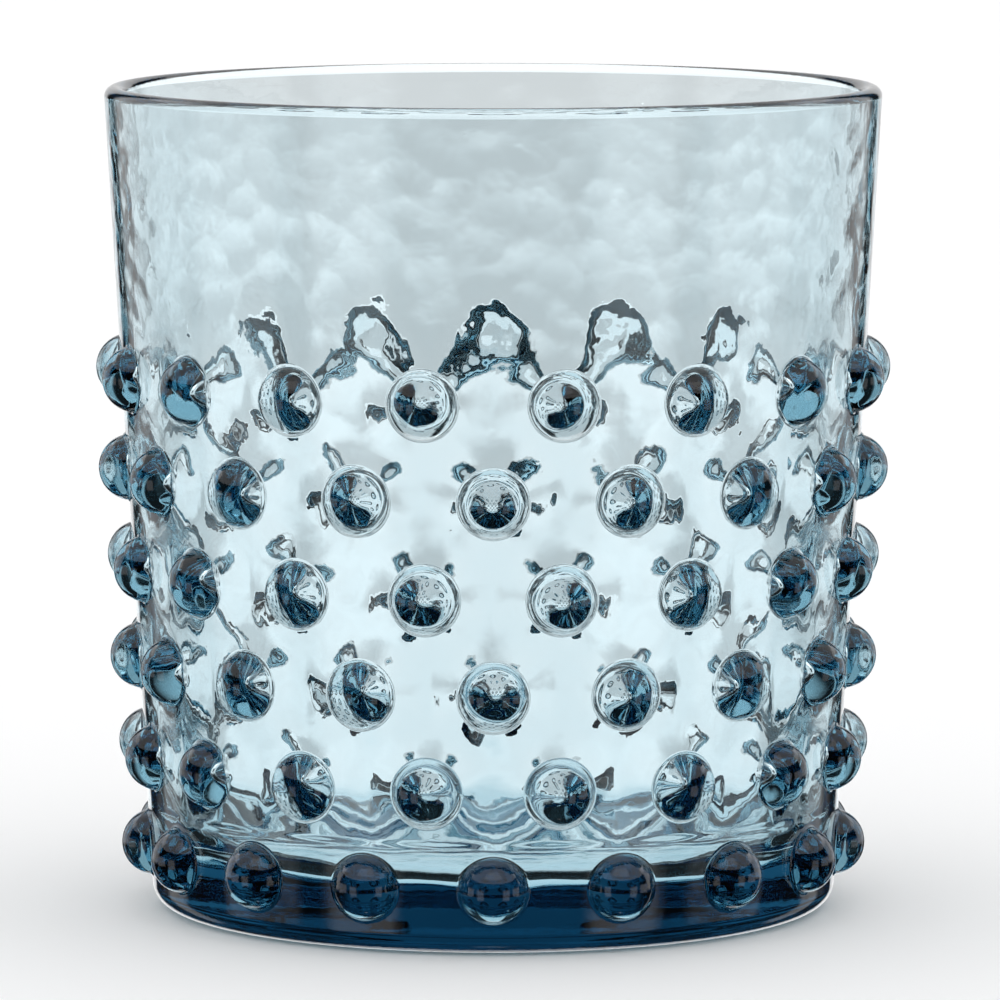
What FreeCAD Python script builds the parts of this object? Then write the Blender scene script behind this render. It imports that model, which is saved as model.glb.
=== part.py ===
import FreeCAD, Part

import math
import os

# A pressed glass tumbler with rows of round knobs (hobnails) on its outside.
# Its axis is Z and it stands on Z = 0. All driving dimensions are in millimetres.
HEIGHT = 90.0
RIM_RADIUS = 42.5          # outside of the taper, at the full height
FOOT_RADIUS = 37.4         # outside of the taper, carried down to the table
FLOOR_THICKNESS = 6.5      # thick pressed bottom, from the table to the inside floor
WALL_AT_FLOOR = 3.2
WALL_AT_RIM = 2.3
FLOOR_FILLET = 5.0         # inside corner between the floor and the wall
HEEL_RADIUS = 2.5          # outside corner just above the table
PUNT_RADIUS = 27.0         # shallow hollow under the base
PUNT_DEPTH = 0.8
LIP_HEIGHT = 2.0           # the fire-polished lip, a region at the top of the wall
LIP_RISE = 1.1             # height of the lip's round top

HOB_ROWS = 6
HOBS_PER_ROW = 17
LOWEST_ROW_HEIGHT = 7.0
ROW_PITCH = 10.35
HOB_BALL_RADIUS = 3.65
HOB_SINK = 0.5             # how far a ball's centre lies inside the outer surface
HOLLOW_BALL_RADIUS = 2.4   # round hollow in the inside of the wall, behind each hob
HOLLOW_COVER = 0.35        # wall that is left between a hollow and the outer surface

FULL_TURN = 360.0
FRONT_ANGLE = -90.0        # the front of the glass is -Y
ENVELOPE_MARGIN = 10.0     # the cutting cone runs past both ends of the glass

AXIS_POINT = FreeCAD.Vector(0, 0, 0)
AXIS = FreeCAD.Vector(0, 0, 1)

TAPER = (RIM_RADIUS - FOOT_RADIUS) / HEIGHT
TAPER_ANGLE = math.atan(TAPER)
FLOOR_INSIDE_RADIUS = FOOT_RADIUS + TAPER * FLOOR_THICKNESS - WALL_AT_FLOOR
INSIDE_TAPER = (RIM_RADIUS - WALL_AT_RIM - FLOOR_INSIDE_RADIUS) / (HEIGHT - FLOOR_THICKNESS)
INSIDE_TAPER_ANGLE = math.atan(INSIDE_TAPER)

# The seams between regions run halfway between rows of knobs, or at the lip.
BASE_TOP = LOWEST_ROW_HEIGHT + ROW_PITCH / 2
HOBNAIL_BAND_TOP = BASE_TOP + (HOB_ROWS - 1) * ROW_PITCH
PLAIN_BAND_TOP = HEIGHT - LIP_HEIGHT


def outer_radius(z):
    """Radius of the outside of the wall, without its knobs."""
    return FOOT_RADIUS + TAPER * z


def inner_radius(z):
    """Radius of the inside of the wall, without the fillet at the floor."""
    return FLOOR_INSIDE_RADIUS + INSIDE_TAPER * (z - FLOOR_THICKNESS)


def profile_point(radius, z):
    """A point of a profile, which lies in the XZ plane."""
    return FreeCAD.Vector(radius, 0, z)


def line(start, end):
    return Part.LineSegment(start, end).toShape()


def arc(start, middle, end):
    return Part.Arc(start, middle, end).toShape()


def revolve(edges):
    """Solid of revolution about the glass's axis from a closed profile."""
    face = Part.Face(Part.Wire(edges))
    return face.revolve(AXIS_POINT, AXIS, FULL_TURN)


def corner_arc(radius, flat_z, side_radius, side_angle, centre_above):
    """Arc between a level surface and a leaning wall, as (flat end, middle, wall end)."""
    centre_z = flat_z + centre_above
    centre = profile_point(side_radius(centre_z) - radius / math.cos(side_angle), centre_z)
    down = FreeCAD.Vector(0, 0, -1)
    out = FreeCAD.Vector(math.cos(side_angle), 0, -math.sin(side_angle))
    bisector = (down + out).normalize()
    return centre + down * radius, centre + bisector * radius, centre + out * radius


def make_base():
    """Thick floor with its heel, hollow underside and the first stretch of wall."""
    heel_flat, heel_middle, heel_side = corner_arc(
        HEEL_RADIUS, 0, outer_radius, TAPER_ANGLE, HEEL_RADIUS
    )
    fillet_flat, fillet_middle, fillet_side = corner_arc(
        FLOOR_FILLET, FLOOR_THICKNESS, inner_radius, INSIDE_TAPER_ANGLE, FLOOR_FILLET
    )
    dome_radius = (PUNT_RADIUS ** 2 + PUNT_DEPTH ** 2) / (2 * PUNT_DEPTH)
    half_way = PUNT_RADIUS / 2
    dome_drop = dome_radius - math.sqrt(dome_radius ** 2 - half_way ** 2)
    punt_top = profile_point(0, PUNT_DEPTH)
    punt_middle = profile_point(half_way, PUNT_DEPTH - dome_drop)
    punt_edge = profile_point(PUNT_RADIUS, 0)
    outside_top = profile_point(outer_radius(BASE_TOP), BASE_TOP)
    inside_top = profile_point(inner_radius(BASE_TOP), BASE_TOP)
    floor_centre = profile_point(0, FLOOR_THICKNESS)
    return revolve([
        arc(punt_top, punt_middle, punt_edge),
        line(punt_edge, heel_flat),
        arc(heel_flat, heel_middle, heel_side),
        line(heel_side, outside_top),
        line(outside_top, inside_top),
        line(inside_top, fillet_side),
        arc(fillet_side, fillet_middle, fillet_flat),
        line(fillet_flat, floor_centre),
        line(floor_centre, punt_top),
    ])


def make_wall_ring(bottom, top):
    """A plain tapering ring of the wall between two heights."""
    inside_bottom = profile_point(inner_radius(bottom), bottom)
    outside_bottom = profile_point(outer_radius(bottom), bottom)
    outside_top = profile_point(outer_radius(top), top)
    inside_top = profile_point(inner_radius(top), top)
    return revolve([
        line(inside_bottom, outside_bottom),
        line(outside_bottom, outside_top),
        line(outside_top, inside_top),
        line(inside_top, inside_bottom),
    ])


def make_rim_lip():
    """The top of the wall, with its rounded edge."""
    shoulder = HEIGHT - LIP_RISE
    inside_bottom = profile_point(inner_radius(PLAIN_BAND_TOP), PLAIN_BAND_TOP)
    outside_bottom = profile_point(outer_radius(PLAIN_BAND_TOP), PLAIN_BAND_TOP)
    outside_shoulder = profile_point(outer_radius(shoulder), shoulder)
    inside_shoulder = profile_point(inner_radius(shoulder), shoulder)
    crest = profile_point((outer_radius(shoulder) + inner_radius(shoulder)) / 2, HEIGHT)
    return revolve([
        line(inside_bottom, outside_bottom),
        line(outside_bottom, outside_shoulder),
        arc(outside_shoulder, crest, inside_shoulder),
        line(inside_shoulder, inside_bottom),
    ])


def make_envelope():
    """The whole outside cone, which gives each knob its back face."""
    low = -ENVELOPE_MARGIN
    high = HEIGHT + ENVELOPE_MARGIN
    cone = Part.makeCone(outer_radius(low), outer_radius(high), high - low)
    cone.translate(FreeCAD.Vector(0, 0, low))
    return cone


def make_ball(row, radius, sink):
    """A ball on the +X side, at a row's height, its centre inside the wall's outer surface."""
    row_height = LOWEST_ROW_HEIGHT + (HOB_ROWS - row) * ROW_PITCH
    outward = FreeCAD.Vector(math.cos(TAPER_ANGLE), 0, -math.sin(TAPER_ANGLE))
    centre = profile_point(outer_radius(row_height), row_height) - outward * sink
    return Part.makeSphere(radius, centre)


def copies_round_row(row, shape):
    """A +X side shape at every place of a row. Odd rows are shifted by half a step."""
    step = FULL_TURN / HOBS_PER_ROW
    shift = step / 2 if row % 2 else 0
    copies = []
    for index in range(HOBS_PER_ROW):
        turned = shape.copy()
        turned.rotate(AXIS_POINT, AXIS, FRONT_ANGLE + shift + index * step)
        copies.append(turned)
    return copies


def make_hob_row(row, envelope):
    """All knobs of one row, balls sunk a little into the wall. Row 1 is the top one."""
    hob = make_ball(row, HOB_BALL_RADIUS, HOB_SINK).cut(envelope).Solids[0]
    return Part.makeCompound(copies_round_row(row, hob))


def make_hobnail_band_wall():
    """The wall behind the rows above the base, with a hollow on its inside at each knob."""
    hollows = []
    for row in range(1, HOB_ROWS):
        ball = make_ball(row, HOLLOW_BALL_RADIUS, HOLLOW_COVER + HOLLOW_BALL_RADIUS)
        hollows.extend(copies_round_row(row, ball))
    return make_wall_ring(BASE_TOP, HOBNAIL_BAND_TOP).cut(hollows).Solids[0]


def make_nodes():
    """Every named region of the glass and its solid or group of solids."""
    nodes = {
        "base": make_base(),
        "hobnail_band_wall": make_hobnail_band_wall(),
        "plain_band_wall": make_wall_ring(HOBNAIL_BAND_TOP, PLAIN_BAND_TOP),
        "rim_lip": make_rim_lip(),
    }
    envelope = make_envelope()
    for row in range(1, HOB_ROWS + 1):
        nodes[f"hobnails_row_{row}"] = make_hob_row(row, envelope)
    return nodes


def export_nodes(nodes):
    os.makedirs("parts", exist_ok=True)
    for name, shape in nodes.items():
        print(name, "valid", shape.isValid(), "solids", len(shape.Solids), "mm3", round(shape.Volume, 1))
        shape.exportStep(f"parts/{name}.step")


export_nodes(make_nodes())
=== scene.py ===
import math

import bpy
import numpy as np
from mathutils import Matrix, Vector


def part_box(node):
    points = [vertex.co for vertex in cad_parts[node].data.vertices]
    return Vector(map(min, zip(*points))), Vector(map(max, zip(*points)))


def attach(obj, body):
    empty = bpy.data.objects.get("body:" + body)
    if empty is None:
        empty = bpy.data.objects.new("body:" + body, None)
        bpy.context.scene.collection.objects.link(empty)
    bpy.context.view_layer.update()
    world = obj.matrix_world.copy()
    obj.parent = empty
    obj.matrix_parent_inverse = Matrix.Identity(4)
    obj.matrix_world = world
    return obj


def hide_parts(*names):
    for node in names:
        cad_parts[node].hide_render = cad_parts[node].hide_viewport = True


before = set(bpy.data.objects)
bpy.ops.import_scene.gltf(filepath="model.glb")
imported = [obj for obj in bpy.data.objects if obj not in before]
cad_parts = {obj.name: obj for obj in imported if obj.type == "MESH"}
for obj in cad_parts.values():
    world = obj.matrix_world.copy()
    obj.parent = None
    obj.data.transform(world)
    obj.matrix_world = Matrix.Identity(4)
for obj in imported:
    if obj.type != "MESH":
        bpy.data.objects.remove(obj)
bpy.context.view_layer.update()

# ---------------------------------------------------------------- sizes, in metres
HOBS_PER_ROW = 17
HOB_ROWS = 6
HOB_BALL_RADIUS = 0.00365
HOB_SINK = 0.0005            # the ball's centre lies this far inside the wall's surface
HOB_FOOT_FILLET = 0.00045    # soft corner where a knob meets the wall
FLOOR_TOP = 0.0065
FLOOR_FILLET = 0.005
HEEL_RADIUS = 0.0025
PUNT_DEPTH = 0.0008
LIP_RISE = 0.0011
SEAM_GAP = 0.0000025         # slit between two pieces that are one glass in reality

WALL_WAVE = 0.000016         # height of the waves on the inside of the wall
WALL_WAVE_COUNT = 90
WALL_WAVELENGTHS = (0.003, 0.009)
WALL_WAVE_RADIUS = 0.038     # a usual radius of the wall, so that its waves close round it
WAVE_FADE = 0.004            # the waves die out over this height below the lip
FLOOR_WAVE = 0.00012         # height of the waves on the floor inside
FLOOR_WAVE_COUNT = 40
FLOOR_WAVELENGTHS = (0.006, 0.016)
WALL_SEED = 3
FLOOR_SEED = 5
PIT_SEED = 11

# Bump in the material: ripples, and seeds, which are tiny bubbles.
RIPPLE_HEIGHT = 0.000018
RIPPLE_SCALE = 520.0
RIPPLE_DETAIL = 1.5
SEED_SCALE = 130.0
SEED_RADIUS = 0.035          # share of the spacing of the seeds

# The hollow in the inside of the wall behind a knob: a pit in the middle of a shallow dish.
HOLLOW_COVER = 0.0002        # wall that is left between the pit's tip and the outside
DISH_DEPTH = 0.0008
DISH_RADIUS = 0.0042         # where the dish is e times less deep than at its middle
PIT_SLOPE = 1.65             # of its flanks
PIT_TIP = 0.0008             # roundness of its tip
PIT_BRIM = 0.0002            # softness of its edge
PIT_STRAY = 0.00028          # how far a pit may lie off its knob's middle, each way
PIT_LEAST = 0.85             # the shallowest pit's share of the full depth

# ---------------------------------------------------------------- mesh densities
CELL_ACROSS = 16             # quads along the top of one knob's cell
CELL_UP = 12                 # quads along its side
CELL_RINGS = 3               # rings from the knob's foot to the cell's edge, on the outside
HOLLOW_RINGS = 6             # the same on the inside
DISC_RINGS = 11              # rings inside the knob's foot, on the inside
JOIN_RINGS = 1               # rings of the hidden face between knob and wall
DOME_RINGS = 14
FILLET_RINGS = 5
COLUMNS = HOBS_PER_ROW * CELL_ACROSS
PLAIN_BAND_ROWS = 27         # rows of points, from here to PUNT_ROWS
LIP_SIDE_ROWS = 3
LIP_CREST_ROWS = 13
HEEL_ROWS = 12
BASE_WALL_ROWS = 3
FLOOR_FILLET_ROWS = 12
FLOOR_ROWS = 30
FOOT_RING_ROWS = 5
PUNT_ROWS = 24
MERGE_DISTANCE = 1e-9        # corners closer than this become one vertex

# Steps of the finite differences that give the normals, and how far they stay from a pole.
ANGLE_STEP = 1e-5
LENGTH_STEP = 1e-6
SHARE_STEP = 1e-5
TURN_STEP = 1e-4
CROWN_MARGIN = 1e-3          # share of a knob's profile
CREST_MARGIN = 1e-4          # share of the lip's crest
MIDDLE_MARGIN = 1e-4         # length, at the middle of the floor

GLASS_IOR = 1.52
JOIN_IOR = 1.0               # of hidden faces between two pieces, where no ray may bend
GLASS_COLOUR = (0.24, 0.58, 0.69, 1)
GLASS_DENSITY = 105.0
STAGE_COLOUR = (0.92, 0.92, 0.925, 1)
STAGE_ROUGHNESS = 0.9
STAGE_SIZE = 16
STAGE_DROP = 0.0002          # how far the stage lies below the foot

STEP = 2 * math.pi / HOBS_PER_ROW
FRONT = -math.pi / 2


# ---------------------------------------------------------------- the frame's own sizes
def node_points(node):
    """The corners of a CAD node's mesh, as rows of x, y, z."""
    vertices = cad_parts[node].data.vertices
    points = np.empty(len(vertices) * 3)
    vertices.foreach_get("co", points)
    return points.reshape(-1, 3)


def wall_lines():
    """(radius at z = 0, slope) of the wall's outside and of its inside."""
    points = node_points("plain_band_wall")
    radius = np.hypot(points[:, 0], points[:, 1])
    z = points[:, 2]
    low = radius[z < z.min() + SEAM_GAP]
    high = radius[z > z.max() - SEAM_GAP]
    lines = []
    for pick in (np.max, np.min):
        slope = (pick(high) - pick(low)) / (z.max() - z.min())
        lines.append((pick(low) - slope * z.min(), slope))
    return lines


(OUTER_AT_ZERO, OUTER_SLOPE), (INNER_AT_ZERO, INNER_SLOPE) = wall_lines()
OUTER_LEAN = math.atan(OUTER_SLOPE)
INNER_LEAN = math.atan(INNER_SLOPE)
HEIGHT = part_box("rim_lip")[1].z
BASE_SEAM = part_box("base")[1].z
BAND_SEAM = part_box("hobnail_band_wall")[1].z
LIP_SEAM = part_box("plain_band_wall")[1].z
ROW_HEIGHTS = {
    row: (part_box(f"hobnails_row_{row}")[0].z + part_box(f"hobnails_row_{row}")[1].z) / 2
    for row in range(1, HOB_ROWS + 1)
}
BASE_POINTS = node_points("base")
CONTACT_POINTS = BASE_POINTS[BASE_POINTS[:, 2] < SEAM_GAP]
PUNT_RADIUS = np.hypot(CONTACT_POINTS[:, 0], CONTACT_POINTS[:, 1]).min()


def row_shift(row):
    """Angle of a row's first knob from the front. Odd rows are shifted by half a step."""
    return STEP / 2 if row % 2 else 0.0


# ---------------------------------------------------------------- surfaces of the glass
def wave_field(seed, count, shortest, longest, radius):
    """Smooth random waves that close round the glass. Returns a function of angle and height."""
    rng = np.random.default_rng(seed)
    length = rng.uniform(shortest, longest, count)
    heading = rng.uniform(0, 2 * np.pi, count)
    turns = np.round(radius * 2 * np.pi / length * np.cos(heading))
    rise = 2 * np.pi / length * np.sin(heading)
    phase = rng.uniform(0, 2 * np.pi, count)
    scale = math.sqrt(2 / count)

    def field(angle, height):
        total = np.zeros(np.broadcast(angle, height).shape)
        for m, k, p in zip(turns, rise, phase):
            total += np.cos(m * angle + k * height + p)
        return total * scale

    return field


def flat_waves(seed, count, shortest, longest):
    """Smooth random waves on a flat floor. Returns a function of x and y."""
    rng = np.random.default_rng(seed)
    length = rng.uniform(shortest, longest, count)
    heading = rng.uniform(0, 2 * np.pi, count)
    phase = rng.uniform(0, 2 * np.pi, count)
    scale = math.sqrt(2 / count)

    def field(x, y):
        total = np.zeros(np.broadcast(x, y).shape)
        for wave, h, p in zip(2 * np.pi / length, heading, phase):
            total += np.cos(wave * (x * math.cos(h) + y * math.sin(h)) + p)
        return total * scale

    return field


WALL_WAVES = wave_field(WALL_SEED, WALL_WAVE_COUNT, *WALL_WAVELENGTHS, WALL_WAVE_RADIUS)
FLOOR_WAVES = flat_waves(FLOOR_SEED, FLOOR_WAVE_COUNT, *FLOOR_WAVELENGTHS)


def smooth_step(low, high, value):
    t = np.clip((value - low) / (high - low), 0, 1)
    return t * t * (3 - 2 * t)


def uneven_pits(seed):
    """Each pit's stray across and up, and its share of the full depth, by row and place."""
    rng = np.random.default_rng(seed)
    stray = rng.uniform(-PIT_STRAY, PIT_STRAY, (HOB_ROWS, HOBS_PER_ROW, 2))
    return stray, rng.uniform(PIT_LEAST, 1, (HOB_ROWS, HOBS_PER_ROW))


STRAYS, DEPTH_SHARES = uneven_pits(PIT_SEED)


def hollows(angle, z):
    """Depth of the hollows that lie behind the knobs on the inside of the wall."""
    total = np.zeros(np.broadcast(angle, z).shape)
    for row in range(1, HOB_ROWS):
        height = ROW_HEIGHTS[row]
        inside = INNER_AT_ZERO + INNER_SLOPE * height
        pit_depth = OUTER_AT_ZERO + OUTER_SLOPE * height - inside - HOLLOW_COVER - DISH_DEPTH
        steps = (angle - FRONT - row_shift(row)) / STEP
        nearest = np.round(steps)
        across = (steps - nearest) * STEP * inside
        total += DISH_DEPTH * np.exp(-(across ** 2 + (z - height) ** 2) / DISH_RADIUS ** 2)
        place = nearest.astype(int) % HOBS_PER_ROW
        stray = STRAYS[row - 1, place]
        distance = np.hypot(across - stray[..., 0], z - height - stray[..., 1])
        depth = pit_depth * DEPTH_SHARES[row - 1, place]
        flank = depth - PIT_SLOPE * (np.hypot(distance, PIT_TIP) - PIT_TIP)
        total += PIT_BRIM * np.logaddexp(0, flank / PIT_BRIM)
    return total * smooth_step(FLOOR_TOP + FLOOR_FILLET, BASE_SEAM, z)


def cylinder_point(angle, radius, z):
    return np.stack([radius * np.cos(angle), radius * np.sin(angle), z + 0 * radius], -1)


def outer_point(angle, z):
    """The leaning outside of the wall, above the heel."""
    return cylinder_point(angle, OUTER_AT_ZERO + OUTER_SLOPE * z + 0 * angle, z)


def inner_relief(angle, z):
    """How far the inside of the wall lies further out than its straight line."""
    fade = smooth_step(HEIGHT, LIP_SEAM - WAVE_FADE, z)
    return hollows(angle, z) + WALL_WAVE * fade * WALL_WAVES(angle, z)


def inner_point(angle, z):
    """The inside of the wall, above the fillet at the floor."""
    radius = INNER_AT_ZERO + INNER_SLOPE * z + inner_relief(angle, z)
    return cylinder_point(angle, radius, z)


def normals_of(surface, a, b, step_a=ANGLE_STEP, step_b=LENGTH_STEP):
    """Unit normals of a surface of two parameters, on the side of d/da x d/db."""
    along_a = surface(a + step_a, b) - surface(a - step_a, b)
    along_b = surface(a, b + step_b) - surface(a, b - step_b)
    normal = np.cross(along_a, along_b)
    return normal / np.linalg.norm(normal, axis=-1, keepdims=True)


# ---------------------------------------------------------------- closed meshes
class Skin:
    """Collects patches of quads, with a normal at each corner, and makes one closed mesh."""

    def __init__(self):
        self.corners = []
        self.normals = []
        self.joins = []

    def add(self, points, normals, join=False):
        """A patch: points and normals in rows and columns. Join faces are hidden in the glass."""
        picks = (
            (slice(None, -1), slice(None, -1)),
            (slice(None, -1), slice(1, None)),
            (slice(1, None), slice(1, None)),
            (slice(1, None), slice(None, -1)),
        )
        corners = np.stack([points[pick].reshape(-1, 3) for pick in picks], 1)
        normals = np.stack([normals[pick].reshape(-1, 3) for pick in picks], 1)
        facing = np.cross(corners[:, 2] - corners[:, 0], corners[:, 3] - corners[:, 1])
        backwards = np.einsum("ij,ij->i", facing, normals.sum(1)) < 0
        corners[backwards] = corners[backwards, ::-1]
        normals[backwards] = normals[backwards, ::-1]
        self.corners.append(corners)
        self.normals.append(normals)
        self.joins.append(np.full(len(corners), join))

    def build(self, name, material):
        """The object. Corners that meet become one vertex, and a skin with a hole is refused."""
        corners = np.concatenate(self.corners)
        normals = np.concatenate(self.normals)
        joins = np.concatenate(self.joins)
        places = np.round(corners.reshape(-1, 3) / MERGE_DISTANCE).astype(np.int64)
        _, first, index = np.unique(places, axis=0, return_index=True, return_inverse=True)
        vertices = corners.reshape(-1, 3)[first]
        index = index.reshape(-1, 4)
        faces, face_joins, face_normals = [], [], []
        for quad, join, normal in zip(index.tolist(), joins.tolist(), normals):
            keep = [i for i in range(4) if quad[i] != quad[i - 1]]
            if len(keep) < 3:
                continue
            faces.append([quad[i] for i in keep])
            face_joins.append(join)
            face_normals.extend(normal[keep])
        mesh = bpy.data.meshes.new(name)
        mesh.from_pydata(vertices, [], faces)
        if mesh.validate():
            raise RuntimeError(f"{name} has a bad face")
        uses = np.zeros(len(mesh.edges), int)
        loop_edges = np.empty(len(mesh.loops), int)
        mesh.loops.foreach_get("edge_index", loop_edges)
        np.add.at(uses, loop_edges, 1)
        if (uses != 2).any():
            raise RuntimeError(f"{name} isn't closed: {int((uses != 2).sum())} open edges")
        mesh.shade_smooth()
        mesh.normals_split_custom_set(face_normals)
        ior = mesh.attributes.new("glass_ior", "FLOAT", "FACE")
        ior.data.foreach_set("value", [JOIN_IOR if join else GLASS_IOR for join in face_joins])
        mesh.materials.append(material)
        piece = bpy.data.objects.new(name, mesh)
        bpy.context.scene.collection.objects.link(piece)
        return piece


# ---------------------------------------------------------------- one knob
def knob_axes(row, angle):
    """Foot centre, sideways, upwards and outwards directions of one knob."""
    height = ROW_HEIGHTS[row]
    radius = OUTER_AT_ZERO + OUTER_SLOPE * height
    c, s = math.cos(angle), math.sin(angle)
    lean_c, lean_s = math.cos(OUTER_LEAN), math.sin(OUTER_LEAN)
    centre = np.array([radius * c, radius * s, height])
    sideways = np.array([-s, c, 0.0])
    upwards = np.array([lean_s * c, lean_s * s, lean_c])
    outwards = np.array([lean_c * c, lean_c * s, -lean_s])
    return centre, sideways, upwards, outwards


HOB_FOOT = math.sqrt(
    (HOB_BALL_RADIUS + HOB_FOOT_FILLET) ** 2 - (HOB_SINK + HOB_FOOT_FILLET) ** 2
)
HOB_TURN = math.atan2(HOB_FOOT, HOB_SINK + HOB_FOOT_FILLET)


def knob_profile(t):
    """(distance from the knob's axis, height over the wall), for t from 0 (crown) to 1 (foot)."""
    dome_share = DOME_RINGS / (DOME_RINGS + FILLET_RINGS)
    on_dome = t <= dome_share
    dome_angle = HOB_TURN * np.clip(t / dome_share, 0, 1)
    turn = HOB_TURN * np.clip((1 - t) / (1 - dome_share), 0, 1)
    reach = np.where(
        on_dome,
        HOB_BALL_RADIUS * np.sin(dome_angle),
        HOB_FOOT - HOB_FOOT_FILLET * np.sin(turn),
    )
    height = np.where(
        on_dome,
        HOB_BALL_RADIUS * np.cos(dome_angle) - HOB_SINK,
        HOB_FOOT_FILLET * (1 - np.cos(turn)),
    )
    return reach, height


def wall_drop(row, u, v):
    """How far the round wall falls away behind its tangent plane at (u, v)."""
    cos, sin = math.cos(OUTER_LEAN), math.sin(OUTER_LEAN)
    across = (OUTER_AT_ZERO + OUTER_SLOPE * ROW_HEIGHTS[row] + v * sin) / cos
    bend = (sin * math.tan(OUTER_LEAN)) ** 2 - cos ** 2
    return u ** 2 / (across + np.sqrt(across ** 2 + bend * u ** 2))


def knob_point(row, angle, turn, t):
    """A point of the knob's surface. Its foot lies exactly on the round wall."""
    centre, sideways, upwards, outwards = knob_axes(row, angle)
    reach, height = knob_profile(t)
    u = reach * np.cos(turn)
    v = reach * np.sin(turn)
    hold = (1 - height / (HOB_BALL_RADIUS - HOB_SINK)) ** 2
    lift = height - wall_drop(row, u, v) * hold
    return centre + u[..., None] * sideways + v[..., None] * upwards + lift[..., None] * outwards


def foot_coordinates(row, angle, turn, reach):
    """Angle and height on the wall of a point at a distance from the knob's axis."""
    centre, sideways, upwards, outwards = knob_axes(row, angle)
    u = reach * np.cos(turn)
    v = reach * np.sin(turn)
    drop = wall_drop(row, u, v)
    point = centre + u[..., None] * sideways + v[..., None] * upwards - drop[..., None] * outwards
    around = np.arctan2(point[..., 1], point[..., 0])
    around = angle + np.mod(around - angle + np.pi, 2 * np.pi) - np.pi
    return around, point[..., 2]


def cell_edge(bottom, top):
    """A knob's cell, once round its edge: (share across, height, direction from the knob)."""
    corner = math.atan2(top - bottom, STEP * OUTER_AT_ZERO)
    across = np.linspace(-0.5, 0.5, CELL_ACROSS + 1)
    up = np.linspace(bottom, top, CELL_UP + 1)
    half_across = np.full(CELL_UP, 0.5)
    share = np.concatenate([half_across, across[:0:-1], -half_across, across[:-1], [0.5]])
    height = np.concatenate([
        up[:-1], np.full(CELL_ACROSS, top), up[:0:-1], np.full(CELL_ACROSS, bottom), [bottom],
    ])
    turn = np.concatenate([
        np.linspace(-corner, corner, CELL_UP + 1)[:-1],
        np.linspace(corner, np.pi - corner, CELL_ACROSS + 1)[:-1],
        np.linspace(np.pi - corner, np.pi + corner, CELL_UP + 1)[:-1],
        np.linspace(np.pi + corner, 2 * np.pi - corner, CELL_ACROSS + 1),
    ])
    return share, height, turn


def cell_patch(row, angle, bottom, top, rings):
    """(angle, height) grid of a knob's cell, from its foot to the cell's edge."""
    share, edge_height, turn = cell_edge(bottom, top)
    foot_angle, foot_height = foot_coordinates(row, angle, turn, HOB_FOOT + 0 * turn)
    t = np.linspace(0, 1, rings + 1)[:, None]
    edge_angle = angle + share * STEP
    return foot_angle * (1 - t) + edge_angle * t, foot_height * (1 - t) + edge_height * t


def disc_patch(row, angle, turn, rings):
    """(angle, height) grid inside a knob's foot, from its middle to its foot."""
    reach = np.linspace(0, HOB_FOOT, rings + 1)[:, None]
    return foot_coordinates(row, angle, turn[None, :] + 0 * reach, reach + 0 * turn[None, :])


def row_angles(row):
    return [FRONT + row_shift(row) + i * STEP for i in range(HOBS_PER_ROW)]


def add_patch(skin, surface, grid, side, join=False):
    """Part of a surface over an (angle, height) grid. Side is 1 to face outwards, -1 inwards."""
    skin.add(surface(*grid), side * normals_of(surface, *grid), join)


def add_cells(skin, row, bottom, top, inside=True):
    """The wall round and behind every knob of a row, on the outside and the inside."""
    turn = cell_edge(bottom, top)[2]
    for angle in row_angles(row):
        add_patch(skin, outer_point, cell_patch(row, angle, bottom, top, CELL_RINGS), 1)
        add_patch(skin, outer_point, disc_patch(row, angle, turn, JOIN_RINGS), 1, True)
        if inside:
            add_patch(skin, inner_point, cell_patch(row, angle, bottom, top, HOLLOW_RINGS), -1)
            add_patch(skin, inner_point, disc_patch(row, angle, turn, DISC_RINGS), -1)


def make_knobs(row, material):
    """All knobs of a row, each a closed dome that stands a hair's breadth off the wall."""
    skin = Skin()
    turn = cell_edge(0, ROW_HEIGHTS[1] - ROW_HEIGHTS[2])[2]
    t = np.linspace(0, 1, DOME_RINGS + FILLET_RINGS + 1)[:, None] + 0 * turn[None, :]
    turns = turn[None, :] + 0 * t
    for angle in row_angles(row):
        outwards = knob_axes(row, angle)[3]
        offset = outwards * SEAM_GAP

        def surface(s, around):
            return knob_point(row, angle, around, s)

        inside_t = np.clip(t, CROWN_MARGIN, 1 - SHARE_STEP)
        normals = normals_of(surface, inside_t, turns, SHARE_STEP, TURN_STEP)
        skin.add(surface(t, turns) + offset, normals)
        disc_angle, disc_z = disc_patch(row, angle, turn, JOIN_RINGS)
        back = outer_point(disc_angle, disc_z) + offset
        skin.add(back, -normals_of(outer_point, disc_angle, disc_z), True)
    return skin.build(f"knobs_row_{row}", material)


# ---------------------------------------------------------------- walls, base and lip
RING_ANGLES = FRONT + np.arange(COLUMNS + 1) * (STEP / CELL_ACROSS)
RING_ANGLES[-1] = RING_ANGLES[0]


def add_seam(skin, z, upwards):
    """A flat ring across the wall, where two pieces meet."""
    outer = outer_point(RING_ANGLES, np.full(COLUMNS + 1, z))
    inner = inner_point(RING_ANGLES, np.full(COLUMNS + 1, z))
    normal = np.zeros((2, COLUMNS + 1, 3))
    normal[..., 2] = 1 if upwards else -1
    skin.add(np.stack([outer, inner]), normal, True)


def add_wall(skin, surface, heights, side):
    """A band of the wall between heights."""
    angles = RING_ANGLES[None, :] + 0 * heights[:, None]
    add_patch(skin, surface, (angles, heights[:, None] + 0 * angles), side)


def cell_bottom(row):
    """The height where a row's cells end and the next row's begin. Row 0 is the plain band."""
    if row == 0:
        return BAND_SEAM
    if row == HOB_ROWS - 1:
        return BASE_SEAM + SEAM_GAP
    return (ROW_HEIGHTS[row] + ROW_HEIGHTS[row + 1]) / 2


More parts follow.
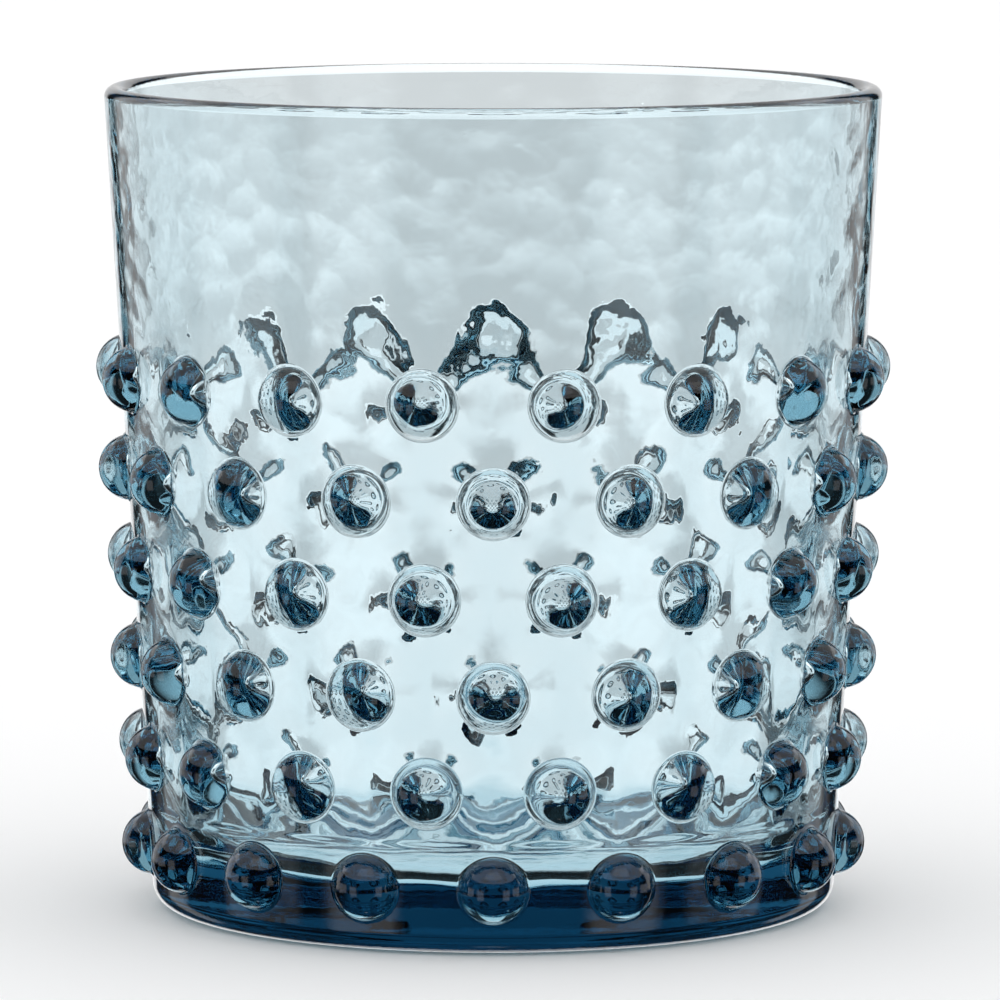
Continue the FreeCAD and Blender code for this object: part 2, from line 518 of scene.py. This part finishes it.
def make_band_wall(material):
    """The wall behind the rows of knobs that stand above the base."""
    skin = Skin()
    for row in range(1, HOB_ROWS):
        add_cells(skin, row, cell_bottom(row), cell_bottom(row - 1))
    add_seam(skin, BASE_SEAM + SEAM_GAP, False)
    add_seam(skin, BAND_SEAM, True)
    return skin.build("hobnail_band_glass", material)


def make_plain_band(material):
    """The plain wall between the knobs and the lip."""
    skin = Skin()
    bottom = BAND_SEAM + SEAM_GAP
    heights = np.linspace(bottom, LIP_SEAM, PLAIN_BAND_ROWS)
    add_wall(skin, outer_point, heights, 1)
    add_wall(skin, inner_point, heights, -1)
    add_seam(skin, bottom, False)
    add_seam(skin, LIP_SEAM, True)
    return skin.build("plain_band_glass", material)


def revolved(angles, profile):
    """Points of a round surface from a profile of (radius, height) rows."""
    radius = profile[:, 0][:, None] + 0 * angles[None, :]
    z = profile[:, 1][:, None] + 0 * angles[None, :]
    around = angles[None, :] + 0 * radius
    return cylinder_point(around, radius, z)


def revolved_normals(angles, slopes):
    """Normals of a round surface from (outwards, upwards) rows, one for each profile point."""
    slopes = slopes / np.linalg.norm(slopes, axis=1, keepdims=True)
    outwards = slopes[:, 0][:, None] + 0 * angles[None, :]
    around = angles[None, :] + 0 * outwards
    return cylinder_point(around, outwards, slopes[:, 1][:, None] + 0 * outwards)


def make_lip(material):
    """The fire-polished top edge: two short straight sides and a round crest."""
    skin = Skin()
    bottom = LIP_SEAM + SEAM_GAP
    shoulder = HEIGHT - LIP_RISE
    heights = np.linspace(bottom, shoulder, LIP_SIDE_ROWS)
    add_wall(skin, outer_point, heights, 1)
    add_wall(skin, inner_point, heights, -1)
    add_seam(skin, bottom, False)
    angles = RING_ANGLES
    outer = OUTER_AT_ZERO + OUTER_SLOPE * shoulder
    t = np.linspace(0, 1, LIP_CREST_ROWS)[:, None] + 0 * angles[None, :]
    around = angles[None, :] + 0 * t

    def crest(s, a):
        inner_side = inner_point(a, np.full(a.shape, shoulder))
        inner = np.hypot(inner_side[..., 0], inner_side[..., 1])
        middle = (outer + inner) / 2
        half = (outer - inner) / 2
        radius = middle + half * np.cos(np.pi * s)
        return cylinder_point(a, radius, shoulder + LIP_RISE * np.sin(np.pi * s))

    inside = np.clip(t, CREST_MARGIN, 1 - CREST_MARGIN)
    normals = normals_of(crest, inside, around, SHARE_STEP, ANGLE_STEP)
    skin.add(crest(t, around), -normals)
    return skin.build("lip_glass", material)


def arc_rows(centre, radius, start, end, count):
    """Profile points and outward slopes along an arc, by angles from the +radius axis."""
    turn = np.linspace(start, end, count)
    slopes = np.stack([np.cos(turn), np.sin(turn)], 1)
    return np.array(centre) + radius * slopes, slopes


def make_base(material):
    """The thick bottom of the glass, with the lowest row's part of the wall."""
    skin = Skin()
    angles = RING_ANGLES
    heel_centre_r = OUTER_AT_ZERO + OUTER_SLOPE * HEEL_RADIUS - HEEL_RADIUS / math.cos(OUTER_LEAN)
    heel, heel_slopes = arc_rows(
        (heel_centre_r, HEEL_RADIUS), HEEL_RADIUS, -np.pi / 2, -OUTER_LEAN, HEEL_ROWS
    )
    heel_top = heel[-1, 1]
    skin.add(revolved(angles, heel), revolved_normals(angles, heel_slopes))
    add_cells(skin, HOB_ROWS, heel_top, BASE_SEAM, inside=False)
    add_seam(skin, BASE_SEAM, True)
    add_inside_of_base(skin)
    add_underside(skin, heel_centre_r)
    return skin.build("base_glass", material)


def add_inside_of_base(skin):
    """From the seam down the wall, round the fillet and in to the middle of the floor."""
    centre_z = FLOOR_TOP + FLOOR_FILLET
    centre_r = INNER_AT_ZERO + INNER_SLOPE * centre_z - FLOOR_FILLET / math.cos(INNER_LEAN)
    wall_end = centre_z - FLOOR_FILLET * math.sin(INNER_LEAN)
    wall_length = BASE_SEAM - wall_end
    fillet_turn = np.pi / 2 - INNER_LEAN
    lengths = np.array([wall_length, FLOOR_FILLET * fillet_turn, centre_r])
    ends = np.cumsum(lengths)

    def surface(s, a):
        on_wall = s <= ends[0]
        on_fillet = (s > ends[0]) & (s <= ends[1])
        turn = -INNER_LEAN - np.clip(s - ends[0], 0, lengths[1]) / FLOOR_FILLET
        z_wall = BASE_SEAM - np.minimum(s, ends[0]) * math.cos(INNER_LEAN)
        z_wall = np.where(s <= 0, BASE_SEAM - s, z_wall)
        r_wall = INNER_AT_ZERO + INNER_SLOPE * z_wall
        r_fillet = centre_r + FLOOR_FILLET * np.cos(turn)
        z_fillet = centre_z + FLOOR_FILLET * np.sin(turn)
        r_floor = ends[2] - s
        radius = np.where(on_wall, r_wall, np.where(on_fillet, r_fillet, r_floor))
        z = np.where(on_wall, z_wall, np.where(on_fillet, z_fillet, FLOOR_TOP))
        relief = inner_relief(a, z) * smooth_step(ends[1], 0, s)
        x, y = radius * np.cos(a), radius * np.sin(a)
        sink = FLOOR_WAVE * FLOOR_WAVES(x, y) * smooth_step(ends[0], ends[1], s)
        return cylinder_point(a, radius + relief, z - sink)

    s = np.concatenate([
        np.linspace(0, ends[0], BASE_WALL_ROWS)[:-1],
        np.linspace(ends[0], ends[1], FLOOR_FILLET_ROWS)[:-1],
        np.linspace(ends[1], ends[2], FLOOR_ROWS),
    ])
    s = s[:, None] + 0 * RING_ANGLES[None, :]
    around = RING_ANGLES[None, :] + 0 * s
    inside = np.minimum(s, ends[2] - MIDDLE_MARGIN)
    normals = normals_of(surface, inside, around, LENGTH_STEP, TURN_STEP)
    skin.add(surface(s, around), -normals)


def add_underside(skin, heel_flat_r):
    """The ring that the glass stands on, and the shallow hollow inside it."""
    dome_radius = (PUNT_RADIUS ** 2 + PUNT_DEPTH ** 2) / (2 * PUNT_DEPTH)
    radius = np.linspace(heel_flat_r, PUNT_RADIUS, FOOT_RING_ROWS)
    flat = np.stack([radius, 0 * radius], 1)
    down = np.tile([0.0, -1.0], (len(flat), 1))
    skin.add(revolved(RING_ANGLES, flat), revolved_normals(RING_ANGLES, down))
    radius = np.linspace(PUNT_RADIUS, 0, PUNT_ROWS)
    rise = PUNT_DEPTH - dome_radius + np.sqrt(dome_radius ** 2 - radius ** 2)
    hollow = np.stack([radius, rise], 1)
    slopes = np.stack([-radius / dome_radius, -np.sqrt(1 - (radius / dome_radius) ** 2)], 1)
    skin.add(revolved(RING_ANGLES, hollow), revolved_normals(RING_ANGLES, slopes))


# ---------------------------------------------------------------- materials
def node_material(name):
    material = bpy.data.materials.new(name)
    material.use_nodes = True
    tree = material.node_tree
    tree.nodes.clear()
    return material, tree


def ripple_bump(tree):
    """Normal of the fine ripples that a mould leaves in pressed glass, and of its few seeds."""
    maths = NodeMaths(tree)
    place = tree.nodes.new("ShaderNodeTexCoord")
    ripples = tree.nodes.new("ShaderNodeTexNoise")
    ripples.inputs["Scale"].default_value = RIPPLE_SCALE
    ripples.inputs["Detail"].default_value = RIPPLE_DETAIL
    tree.links.new(place.outputs["Object"], ripples.inputs["Vector"])
    seeds = tree.nodes.new("ShaderNodeTexVoronoi")
    seeds.inputs["Scale"].default_value = SEED_SCALE
    tree.links.new(place.outputs["Object"], seeds.inputs["Vector"])
    seed_rise = maths.soft_step(seeds.outputs["Distance"], SEED_RADIUS, 0.0)
    height = maths.do("ADD", ripples.outputs["Fac"], seed_rise)
    bump = tree.nodes.new("ShaderNodeBump")
    bump.inputs["Strength"].default_value = 1.0
    bump.inputs["Distance"].default_value = RIPPLE_HEIGHT
    tree.links.new(height, bump.inputs["Height"])
    return bump.outputs["Normal"]


def glass_material():
    """Clear blue pressed glass: the colour is in the thickness, by absorption."""
    material, tree = node_material("blue_glass")
    output = tree.nodes.new("ShaderNodeOutputMaterial")
    shader = tree.nodes.new("ShaderNodeBsdfPrincipled")
    shader.inputs["Base Color"].default_value = (1, 1, 1, 1)
    shader.inputs["Roughness"].default_value = 0.0
    shader.inputs["Transmission Weight"].default_value = 1.0
    ior = tree.nodes.new("ShaderNodeAttribute")
    ior.attribute_type = "GEOMETRY"
    ior.attribute_name = "glass_ior"
    tree.links.new(ior.outputs["Fac"], shader.inputs["IOR"])
    tree.links.new(ripple_bump(tree), shader.inputs["Normal"])
    tree.links.new(shader.outputs["BSDF"], output.inputs["Surface"])
    absorption = tree.nodes.new("ShaderNodeVolumeAbsorption")
    absorption.inputs["Color"].default_value = GLASS_COLOUR
    absorption.inputs["Density"].default_value = GLASS_DENSITY
    tree.links.new(absorption.outputs["Volume"], output.inputs["Volume"])
    return material


def floor_material():
    material, tree = node_material("pale_floor")
    output = tree.nodes.new("ShaderNodeOutputMaterial")
    shader = tree.nodes.new("ShaderNodeBsdfPrincipled")
    shader.inputs["Base Color"].default_value = STAGE_COLOUR
    shader.inputs["Roughness"].default_value = STAGE_ROUGHNESS
    tree.links.new(shader.outputs["BSDF"], output.inputs["Surface"])
    return material


# ---------------------------------------------------------------- stage, light and camera
def make_floor():
    bpy.ops.mesh.primitive_plane_add(size=STAGE_SIZE, location=(0, 0, -STAGE_DROP))
    floor = bpy.context.object
    floor.name = "studio_floor"
    floor.data.materials.append(floor_material())
    floor.visible_transmission = False
    floor.visible_glossy = False


# Bright panels of the studio: azimuth from +Y, positive towards -X, half width, lowest and
# highest elevation, soft edge (all in degrees), and brightness.
PANELS = (
    (0, 18, -62, -5.8, 2.2, 1.22),
    (0, 18, -5.8, 28, 2.2, 0.8),
    (54, 24, -8, 40, 4, 1.15),
    (-54, 24, -8, 40, 4, 1.15),
    (45, 7, -36, -8, 3, 0.6),
    (-45, 7, -36, -8, 3, 0.6),
    (95, 16, -14, 6, 3, 0.9),
    (-95, 16, -14, 6, 3, 0.9),
    (135, 12, -26, 5, 4, 0.9),
    (-135, 12, -26, 5, 4, 0.9),
    (180, 40, 42, 70, 4, 0.6),
)
CEILING = (28, 88, 0.9)      # lowest and highest elevation, and brightness
CEILING_SOFT = (2, 3)        # its soft edges, low and high
GROUND = (-85, -89, 0.9)     # elevations where it begins and is full, and brightness
STUDIO_DARK = 0.02
ROOM_WHITE = 1.12            # even light of the room, which the floor gets
HALF_TURN = 180.0

# The camera stands in front of the glass, at -Y.
SENSOR_WIDTH = 36
LENS = 290
CAMERA_REACH = 20            # farthest thing it draws
CAMERA_DISTANCE = 0.879      # from the axis of the glass
CAMERA_RISE = 0.0525         # over the rim
CAMERA_PITCH = 6.37          # degrees down
CAMERA_TURN = -0.048         # degrees

GLASS_BOUNCES = 48
GLOSSY_BOUNCES = 24
CLEAR_BOUNCES = 16


class NodeMaths:
    """Short forms for the maths nodes of one tree."""

    def __init__(self, tree):
        self.tree = tree

    def link(self, value, socket):
        if isinstance(value, (int, float)):
            socket.default_value = value
        else:
            self.tree.links.new(value, socket)

    def do(self, operation, *inputs):
        node = self.tree.nodes.new("ShaderNodeMath")
        node.operation = operation
        for socket, value in zip(node.inputs, inputs):
            self.link(value, socket)
        return node.outputs["Value"]

    def soft_step(self, value, low, high):
        """0 at low and 1 at high, with a smooth change between. High may be the smaller one."""
        node = self.tree.nodes.new("ShaderNodeMapRange")
        node.interpolation_type = "SMOOTHSTEP"
        node.inputs["From Min"].default_value = min(low, high)
        node.inputs["From Max"].default_value = max(low, high)
        node.inputs["To Min"].default_value = 0.0 if low < high else 1.0
        node.inputs["To Max"].default_value = 1.0 if low < high else 0.0
        self.tree.links.new(value, node.inputs["Value"])
        return node.outputs["Result"]


def make_world():
    """A dark studio with bright panels for glass, and an even white dome for the floor."""
    world = bpy.data.worlds.new("studio")
    world.use_nodes = True
    bpy.context.scene.world = world
    tree = world.node_tree
    tree.nodes.clear()
    maths = NodeMaths(tree)
    output = tree.nodes.new("ShaderNodeOutputWorld")
    background = tree.nodes.new("ShaderNodeBackground")
    tree.links.new(background.outputs["Background"], output.inputs["Surface"])
    place = tree.nodes.new("ShaderNodeTexCoord")
    split = tree.nodes.new("ShaderNodeSeparateXYZ")
    tree.links.new(place.outputs["Generated"], split.inputs["Vector"])
    to_degrees = HALF_TURN / math.pi
    minus_x = maths.do("MULTIPLY", split.outputs["X"], -1.0)
    azimuth = maths.do("ARCTAN2", minus_x, split.outputs["Y"])
    azimuth = maths.do("MULTIPLY", azimuth, to_degrees)
    elevation = maths.do("MULTIPLY", maths.do("ARCSINE", split.outputs["Z"]), to_degrees)
    level = STUDIO_DARK
    for heading, half_width, low, high, soft, brightness in PANELS:
        turned = maths.do("SUBTRACT", azimuth, heading)
        away = maths.do("ABSOLUTE", maths.do("WRAP", turned, HALF_TURN, -HALF_TURN))
        across = maths.soft_step(away, half_width + soft, half_width - soft)
        bottom = maths.soft_step(elevation, low - soft, low + soft)
        top = maths.soft_step(elevation, high + soft, high - soft)
        panel = maths.do("MULTIPLY", maths.do("MULTIPLY", across, bottom), top)
        level = maths.do("ADD", level, maths.do("MULTIPLY", panel, brightness))
    low, high, brightness = CEILING
    low_soft, high_soft = CEILING_SOFT
    ceiling = maths.soft_step(elevation, low - low_soft, low + low_soft)
    ceiling_top = maths.soft_step(elevation, high + high_soft, high - high_soft)
    ceiling = maths.do("MULTIPLY", ceiling, ceiling_top)
    level = maths.do("ADD", level, maths.do("MULTIPLY", ceiling, brightness))
    start, end, brightness = GROUND
    ground = maths.soft_step(elevation, start, end)
    level = maths.do("ADD", level, maths.do("MULTIPLY", ground, brightness))
    path = tree.nodes.new("ShaderNodeLightPath")
    glossy = path.outputs["Is Glossy Ray"]
    in_glass = maths.do("MAXIMUM", glossy, path.outputs["Is Transmission Ray"])
    white = maths.do("MULTIPLY", maths.do("SUBTRACT", 1.0, in_glass), ROOM_WHITE)
    level = maths.do("ADD", maths.do("MULTIPLY", level, in_glass), white)
    tree.links.new(level, background.inputs["Strength"])
    background.inputs["Color"].default_value = (1, 1, 1, 1)


def make_camera():
    camera_data = bpy.data.cameras.new("camera")
    camera = bpy.data.objects.new("camera", camera_data)
    bpy.context.scene.collection.objects.link(camera)
    camera_data.sensor_width = SENSOR_WIDTH
    camera_data.lens = LENS
    camera_data.clip_end = CAMERA_REACH
    camera.location = (0, -CAMERA_DISTANCE, HEIGHT + CAMERA_RISE)
    pitch = math.radians(CAMERA_PITCH)
    camera.rotation_euler = (math.pi / 2 - pitch, 0, math.radians(CAMERA_TURN))
    bpy.context.scene.camera = camera


def set_light_paths():
    scene = bpy.context.scene
    scene.view_settings.view_transform = "Standard"
    cycles = scene.cycles
    cycles.max_bounces = GLASS_BOUNCES
    cycles.transmission_bounces = GLASS_BOUNCES
    cycles.glossy_bounces = GLOSSY_BOUNCES
    cycles.transparent_max_bounces = CLEAR_BOUNCES


glass = glass_material()
pieces = {
    "base": make_base(glass),
    "hobnail_band_wall": make_band_wall(glass),
    "plain_band_wall": make_plain_band(glass),
    "rim_lip": make_lip(glass),
}
for row in range(1, HOB_ROWS + 1):
    pieces[f"hobnails_row_{row}"] = make_knobs(row, glass)
for node, piece in pieces.items():
    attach(piece, "root")
    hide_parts(node)
make_floor()
make_world()
make_camera()
set_light_paths()
